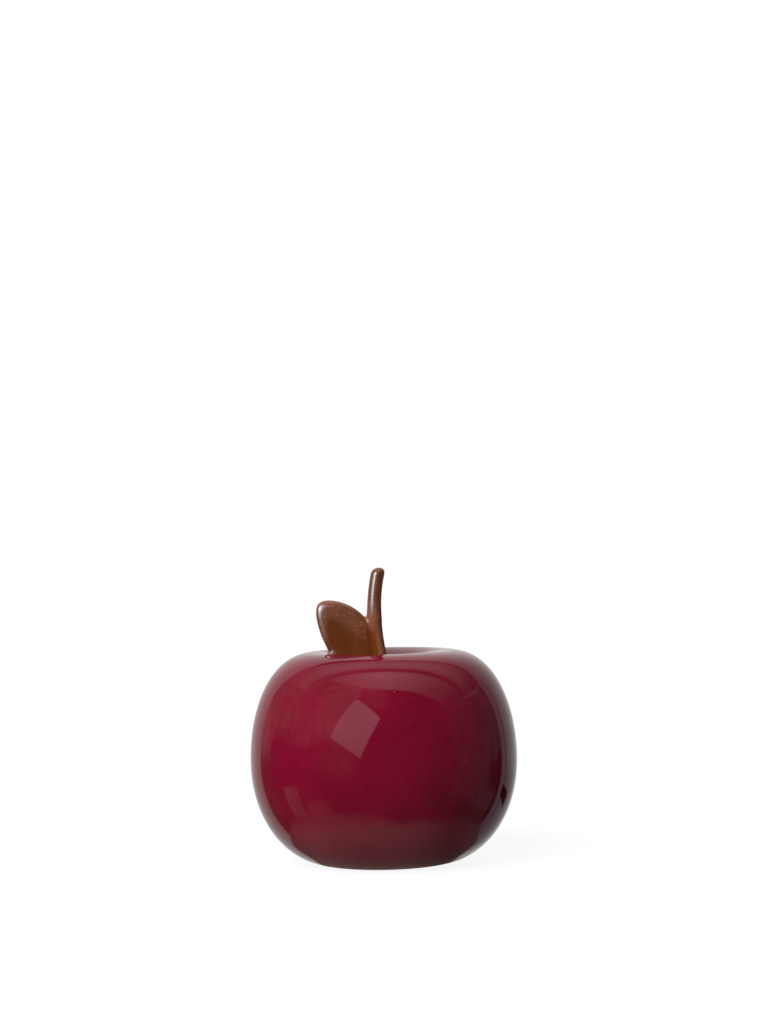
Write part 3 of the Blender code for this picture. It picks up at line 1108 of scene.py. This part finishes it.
# What the glaze mirrors of the room, in degrees; later areas cover earlier ones. A row has azimuths,
# elevations, levels at the left and right, softness across and up, and the slopes of slanting edges
roomAreas = [
    ((-128, -25), (9, 62), (0.21, 0.45), (9, 15)),  # wall on the left
    ((-60, -25), (-8, 9), (0.12, 0.24), (14, 12)),
    ((-132, -108), (-3, 14), (0.30, 0.20), (4, 8)),
    ((-84, -66), (6, 60), (0.24, 0.27), (14, 12)),
    ((-112, -72), (-15, 4), (0.05, 0.06), (4, 4)),
    ((-71, -62), (49, 52), (0.48, 0.48), (3, 2)),
    ((-24, 6), (36, 62), (0.22, 0.20), (16, 8)),
    ((12, 40), (52, 56), (0.06, 0.05), (4, 3), (-0.22, -0.22)),
    ((40, 62), (46, 49), (0.05, 0.05), (1, 3), (-0.52, -0.52)),
    ((60, 118), (-28, 34), (0.12, 0.13), (14, 14)),
    ((88, 120), (28.5, 29.3), (0.42, 0.40), (4, 0.8), (-0.1, -0.1)),
    ((92, 114), (-28, -18), (0.17, 0.12), (4, 3)),
    ((102, 119), (-18, -4), (0.05, 0.03), (8, 5)),
    ((118, 190), (24, 70), (0.12, 0.55), (2, 3)),
    ((-190, -131), (-60, 46), (0.80, 0.46), (1.5, 1)),  # backdrop
    ((120.5, 190), (-60, 27), (0.27, 0.85), (1, 1), (0, 0.8)),
    ((121, 190), (-60, -9), (0.20, 0.62), (1, 8)),
    ((162, 200), (-60, 60), (0.745, 0.745), (26, 1), (0, 0.8)),
    ((123.8, 126.4), (-32, 24), (0.36, 0.36), (1, 4)),
    ((126.6, 130.0), (-32, 24), (0.20, 0.22), (1, 4)),
    ((126.5, 143), (-18.6, -13.6), (0.0, 0.02), (1, 1), (-0.06, -0.06)),
    ((115, 119), (-32, -2), (0.03, 0.0), (3, 3)),
    ((-98, -82), (-34, -15), (0.30, 0.27), (1, 1)),  # low pane on the left
    ((-76, -52), (-36, -26), (0.25, 0.18), (6, 5)),
    ((-110, 0), (-52, -38), (0.25, 0.12), (24, 9)),
]
room = {
    "size": 2.6,
    "level": 0.08,
    "mottle": (260, 5),
    "mottleStrength": 1.5,
    "mottleAcross": (-126, 112, 12),  # left, right and softness, here and below
    "tint": (1, 1, 0.98, 1),
    "warm": (1, 0.98, 0.76, 1),
    "warmAcross": (-130, -20, 20),
    "cool": (1, 0.98, 1.12, 1),
    "coolAcross": (118, 138, 8),
    "coolHeights": (-14, 0),
}


def addArea(tree, azimuth, elevation, level, across, up, levels, soft, slopes=(0, 0)):
    share = between(tree, azimuth, *across, soft[0])
    half = 0.5 * soft[1]
    for edge, slope, ends in zip(up, slopes, ((0, 1), (1, 0))):
        height = minus(tree, elevation, times(tree, minus(tree, azimuth, across[0]), slope))
        share = times(tree, share, ramp(tree, height, edge - half, edge + half, *ends))
    return mix(tree, share, level, ramp(tree, azimuth, *across, *levels, shape="LINEAR"))


def makeRoom():
    freshStart()
    bpy.ops.mesh.primitive_uv_sphere_add(segments=48, ring_count=24, radius=room["size"],
                                         location=studio["middle"])
    _, tree = glossCard("dim room")
    place = node(tree, "VectorMath", {0: objectPlace(tree)}, operation="NORMALIZE").outputs[0]
    x, y, z = axes(tree, place)
    azimuth = azimuthOf(tree, x, y)
    elevation = times(tree, sums(tree, "ARCSINE", z), degrees)
    level = room["level"]
    for area in roomAreas:
        level = addArea(tree, azimuth, elevation, level, *area)
    patches = swing(tree, noise(tree, *room["mottle"]), room["mottleStrength"])
    patches = times(tree, patches, between(tree, azimuth, *room["mottleAcross"]))
    tint = blend(tree, between(tree, azimuth, *room["warmAcross"]), room["tint"], room["warm"])
    cool = times(tree, between(tree, azimuth, *room["coolAcross"]),
                 ramp(tree, elevation, *room["coolHeights"], 1.0, 0.0))
    level = times(tree, level, plus(tree, patches, 1.0))
    show(tree, glow(tree, blend(tree, cool, tint, room["cool"]), level))


window = {
    "away": 1.2,
    "corners": ((-46.2, 12.6), (-19.2, 1.5), (-27.5, 43.0), (-2.3, 27.0)),
    "tint": (1.30, 0.98, 1.08, 1),
    "level": (0.84, 1.12),  # at its foot and from the height given below upwards
    "fadeHeights": (0.10, 0.42),
}


def makeWindow():
    freshStart()
    bpy.ops.mesh.primitive_plane_add(size=1.0)
    pane, tree = glossCard("window")
    for vert, corner in zip(pane.data.vertices, window["corners"]):
        vert.co = studio["middle"] + direction(*corner) * window["away"]
    _, _, z = axes(tree)
    show(tree, glow(tree, window["tint"], ramp(tree, z, *window["fadeHeights"], *window["level"])))


# Overhead light in plan, in metres: a wide bank in front, a dark beam and a dimmer bank behind. Rows
# of four are ramps: from, to, and the values there
ceiling = {
    "height": 1.0,
    "tint": (1.0, 0.99, 0.93, 1),
    "frontEdge": ((-1.35, 0.10), (-0.68, 0.0), (-0.63, -0.17), (-0.56, -0.33), (-0.45, -0.47),
                  (-0.31, -0.59), (-0.18, -0.66), (0.06, -0.70), (0.43, -0.70), (0.81, -0.72),
                  (1.3, -0.77), (1.72, -0.80), (1.80, -0.27), (1.84, 0.3)),
    "backAcross": (1.86, 1.6, 1.3, 1.0, 0.75, 0.5, 0.0, -0.5, -0.7, -0.85, -1.0, -1.15, -1.35),
    "backEdge": (0.67, 0.45, 1.3),  # its place in the middle, where it starts to curve, and how
    "backCurve": (0.45, 0.22),  # on the left and on the right
    "backLine": 0.03,  # a dark line along the back edge
    "backLineLevel": 0.12,
    "brightest": (-0.05, -0.25),
    "front": (0.0, 0.93, 1.22, 0.34),
    "frontSides": ((-0.55, 0.0, 0.75, 1.0), (0.8, 1.6, 1.0, 0.38)),
    "beam": (-0.07, 0.03),
    "beamLevel": (-0.5, 0.5, 0.24, 0.12),
    "back": (0.03, 0.16, 0.26, 0.76),
    "backEnd": (0.3, 0.62, 1.0, 0.553),
    "backSides": ((-0.9, -0.3, 0.62, 1.0), (0.1, 1.2, 1.0, 0.42), (1.1, 1.7, 1.0, 0.5)),
    "rightStrip": (1.74, 1.80, 0.02),
    "rightStripLevel": 0.26,
}


def backEdgeAt(across):
    middle, start, power = ceiling["backEdge"]
    curve = ceiling["backCurve"][0 if across < 0 else 1]
    return middle + curve * max(abs(across) - start, 0.0) ** power


def makeCeiling():
    freshStart()
    line = ceiling["backLine"]
    outline = list(ceiling["frontEdge"]) + [(x, backEdgeAt(x) + line) for x in ceiling["backAcross"]]
    bpy.ops.mesh.primitive_circle_add(vertices=len(outline), radius=1.0, fill_type="NGON")
    card, tree = glossCard("ceiling light")
    for vert, (x, y) in zip(card.data.vertices, outline):
        vert.co = studio["middle"] + Vector((x, y, ceiling["height"]))
    x, y, _ = axes(tree)
    away = inPlan(tree, "DISTANCE", x, y, ceiling["brightest"])
    front = ramp(tree, away, *ceiling["front"], shape="LINEAR")
    for side in ceiling["frontSides"]:
        front = times(tree, front, ramp(tree, x, *side))
    low, high = ceiling["beam"]
    beam = ramp(tree, x, *ceiling["beamLevel"])
    level = mix(tree, ramp(tree, y, low - 0.03, low + 0.03), front, beam)
    back = times(tree, ramp(tree, y, *ceiling["back"]), ramp(tree, y, *ceiling["backEnd"]))
    for side in ceiling["backSides"]:
        back = times(tree, back, ramp(tree, x, *side))
    level = mix(tree, ramp(tree, y, high - 0.01, high + 0.04), level, back)
    strip = times(tree, between(tree, x, *ceiling["rightStrip"]), ceiling["rightStripLevel"])
    level = sums(tree, "MAXIMUM", level, strip)
    middle, start, power = ceiling["backEdge"]
    bent = sums(tree, "MAXIMUM", minus(tree, sums(tree, "ABSOLUTE", x), start), 0.0)
    bent = times(tree, sums(tree, "POWER", bent, power),
                 ramp(tree, x, -0.1, 0.1, *ceiling["backCurve"]))
    past = minus(tree, y, plus(tree, bent, middle))
    level = times(tree, level, ramp(tree, past, -0.02, 0.0, 1.0, ceiling["backLineLevel"]))
    show(tree, glow(tree, ceiling["tint"], level))


# The table top under the apple as the lower half of the glaze mirrors it, with ramps as above. It is
# a glowing card with a painted shadow under the apple and painted light on one side
table = {
    "radius": 0.1,
    "height": 0.2,
    "front": (-50, 10, 0.084, 0.071),  # its reach in metres, by azimuth
    "behind": 0.029,
    "frontHalf": (0.033, 0.048, 54, 75),  # degrees to each side, by the distance from the middle
    "frontSoft": 11,
    "wobble": 0.018,
    "wobbleSize": (22, 2),
    "soft": 0.009,
    # Painted light: the reflected table is lighter towards this side
    "brightSide": (-0.26, -0.966),
    "levels": (0.45, 1.0, 0.19, 0.55),
    "outer": (0.060, 0.076, 1.0, 0.70),
    # Painted shadow: the reflected table is darker near the middle, under the apple
    "under": (0.024, 0.060, 0.32, 1.0),
    "tint": (1.1, 0.76, 0.70, 1),
}


def makeTable():
    freshStart()
    bpy.ops.mesh.primitive_circle_add(vertices=96, radius=table["radius"], fill_type="NGON",
                                      location=(0, 0, table["height"] * mm))
    disc, tree = glossCard("table top")
    settle(disc)
    x, y, _ = axes(tree)
    reach = inPlan(tree, "LENGTH", x, y)
    azimuth = azimuthOf(tree, x, y)
    within = minus(tree, ramp(tree, reach, *table["frontHalf"]), sums(tree, "ABSOLUTE", azimuth))
    front = ramp(tree, within, -table["frontSoft"], table["frontSoft"])
    limit = mix(tree, front, table["behind"], ramp(tree, azimuth, *table["front"]))
    limit = plus(tree, limit, swing(tree, noise(tree, *table["wobbleSize"]), table["wobble"]))
    inside = ramp(tree, minus(tree, limit, reach), -table["soft"], table["soft"])
    towards = inPlan(tree, "DOT_PRODUCT", x, y, table["brightSide"])
    share = sums(tree, "DIVIDE", towards, sums(tree, "MAXIMUM", reach, 1e-4))
    level = ramp(tree, share, *table["levels"])
    # Fading towards its edge, and a painted shadow under the apple
    for fade in ("outer", "under"):
        level = times(tree, level, ramp(tree, reach, *table[fade]))
    light = glow(tree, table["tint"], level)
    clear = node(tree, "BsdfTransparent", {})
    show(tree, node(tree, "MixShader", {0: inside, 1: clear.outputs[0], 2: light.outputs[0]}))


# Each lamp's azimuth and elevation, its level on a matt white surface, and its softness in degrees
glintFrom = (-41, 15)
lamps = [
    {"name": "key light", "from": (-39, 38), "level": 0.93, "soft": 54},
    {"name": "back light left", "from": (-178, 10), "level": 0.42, "soft": 60},
    {"name": "back light right", "from": (165, 8), "level": 0.30, "soft": 60},
    {"name": "top light", "from": (0, 88), "level": 0.06, "soft": 90},
    {"name": "table bounce", "from": (-85, -45), "level": 0.07, "soft": 90, "shadow": False},
    {"name": "glint", "from": glintFrom, "level": 1.45, "soft": 27, "colour": (0.90, 1.14, 1.38),
     "only": "stem_and_leaf"},
]


# A small flag beside the dull lower stem, which keeps the glint off it
flag = {
    "behind": (-1.0, -2.0, 87.0),  # the middle of what it shades, in millimetres
    "away": 12.0,
    "size": (11.0, 18.0),
}


def makeFlag():
    freshStart()
    towards = direction(*glintFrom)
    place = (Vector(flag["behind"]) + towards * flag["away"]) * mm
    turn = towards.to_track_quat("Z", "Y").to_euler()
    bpy.ops.mesh.primitive_plane_add(size=mm, location=place, rotation=turn)
    card = named("lamp flag")
    card.scale = (*flag["size"], 1)
    hideFrom(card, "camera", "diffuse", "glossy", "transmission", "volume_scatter")
    return card


def makeLamps():
    notTheFlag = bpy.data.collections.new("all but the flag")
    notTheFlag.objects.link(makeFlag())
    notTheFlag.collection_objects[0].light_linking.link_state = "EXCLUDE"
    for lamp in lamps:
        freshStart()
        towards = direction(*lamp["from"])
        bpy.ops.object.light_add(type="SUN", location=studio["middle"] + towards)
        light = bpy.context.active_object
        light.name = light.data.name = lamp["name"]
        light.rotation_euler = towards.to_track_quat("Z", "Y").to_euler()
        light.data.energy = math.pi * lamp["level"]
        light.data.color = lamp.get("colour", (1, 1, 1))
        light.data.angle = math.radians(lamp["soft"])
        light.data.use_shadow = lamp.get("shadow", True)
        light.visible_glossy = "only" in lamp
        light.visible_diffuse = "only" not in lamp
        if "only" in lamp:
            lit = bpy.data.collections.new(lamp["name"])
            lit.objects.link(bpy.data.objects[lamp["only"]])
            light.light_linking.receiver_collection = lit
        else:
            light.light_linking.blocker_collection = notTheFlag


view = {"place": (0.00217, -1.0, 0.1441), "roll": 0.021, "lens": 85.11, "nearest": 0.01}


def makeCamera():
    freshStart()
    bpy.ops.object.camera_add(location=view["place"], rotation=(quarterTurn, view["roll"], 0))
    camera = bpy.context.active_object
    camera.data.lens = view["lens"]
    camera.data.clip_start = view["nearest"]
    bpy.context.scene.camera = camera


makeCamera()
makeWorld()
makeFloor()
makeRoom()
makeWindow()
makeCeiling()
makeTable()
print("studio ready")
makeShell()
print("shell ready")
makeTop()
print("stem and leaf ready")
makePlug()
print("plug ready")
makeLamps()
print("lamps ready")

bpy.context.scene.view_settings.view_transform = "Standard"
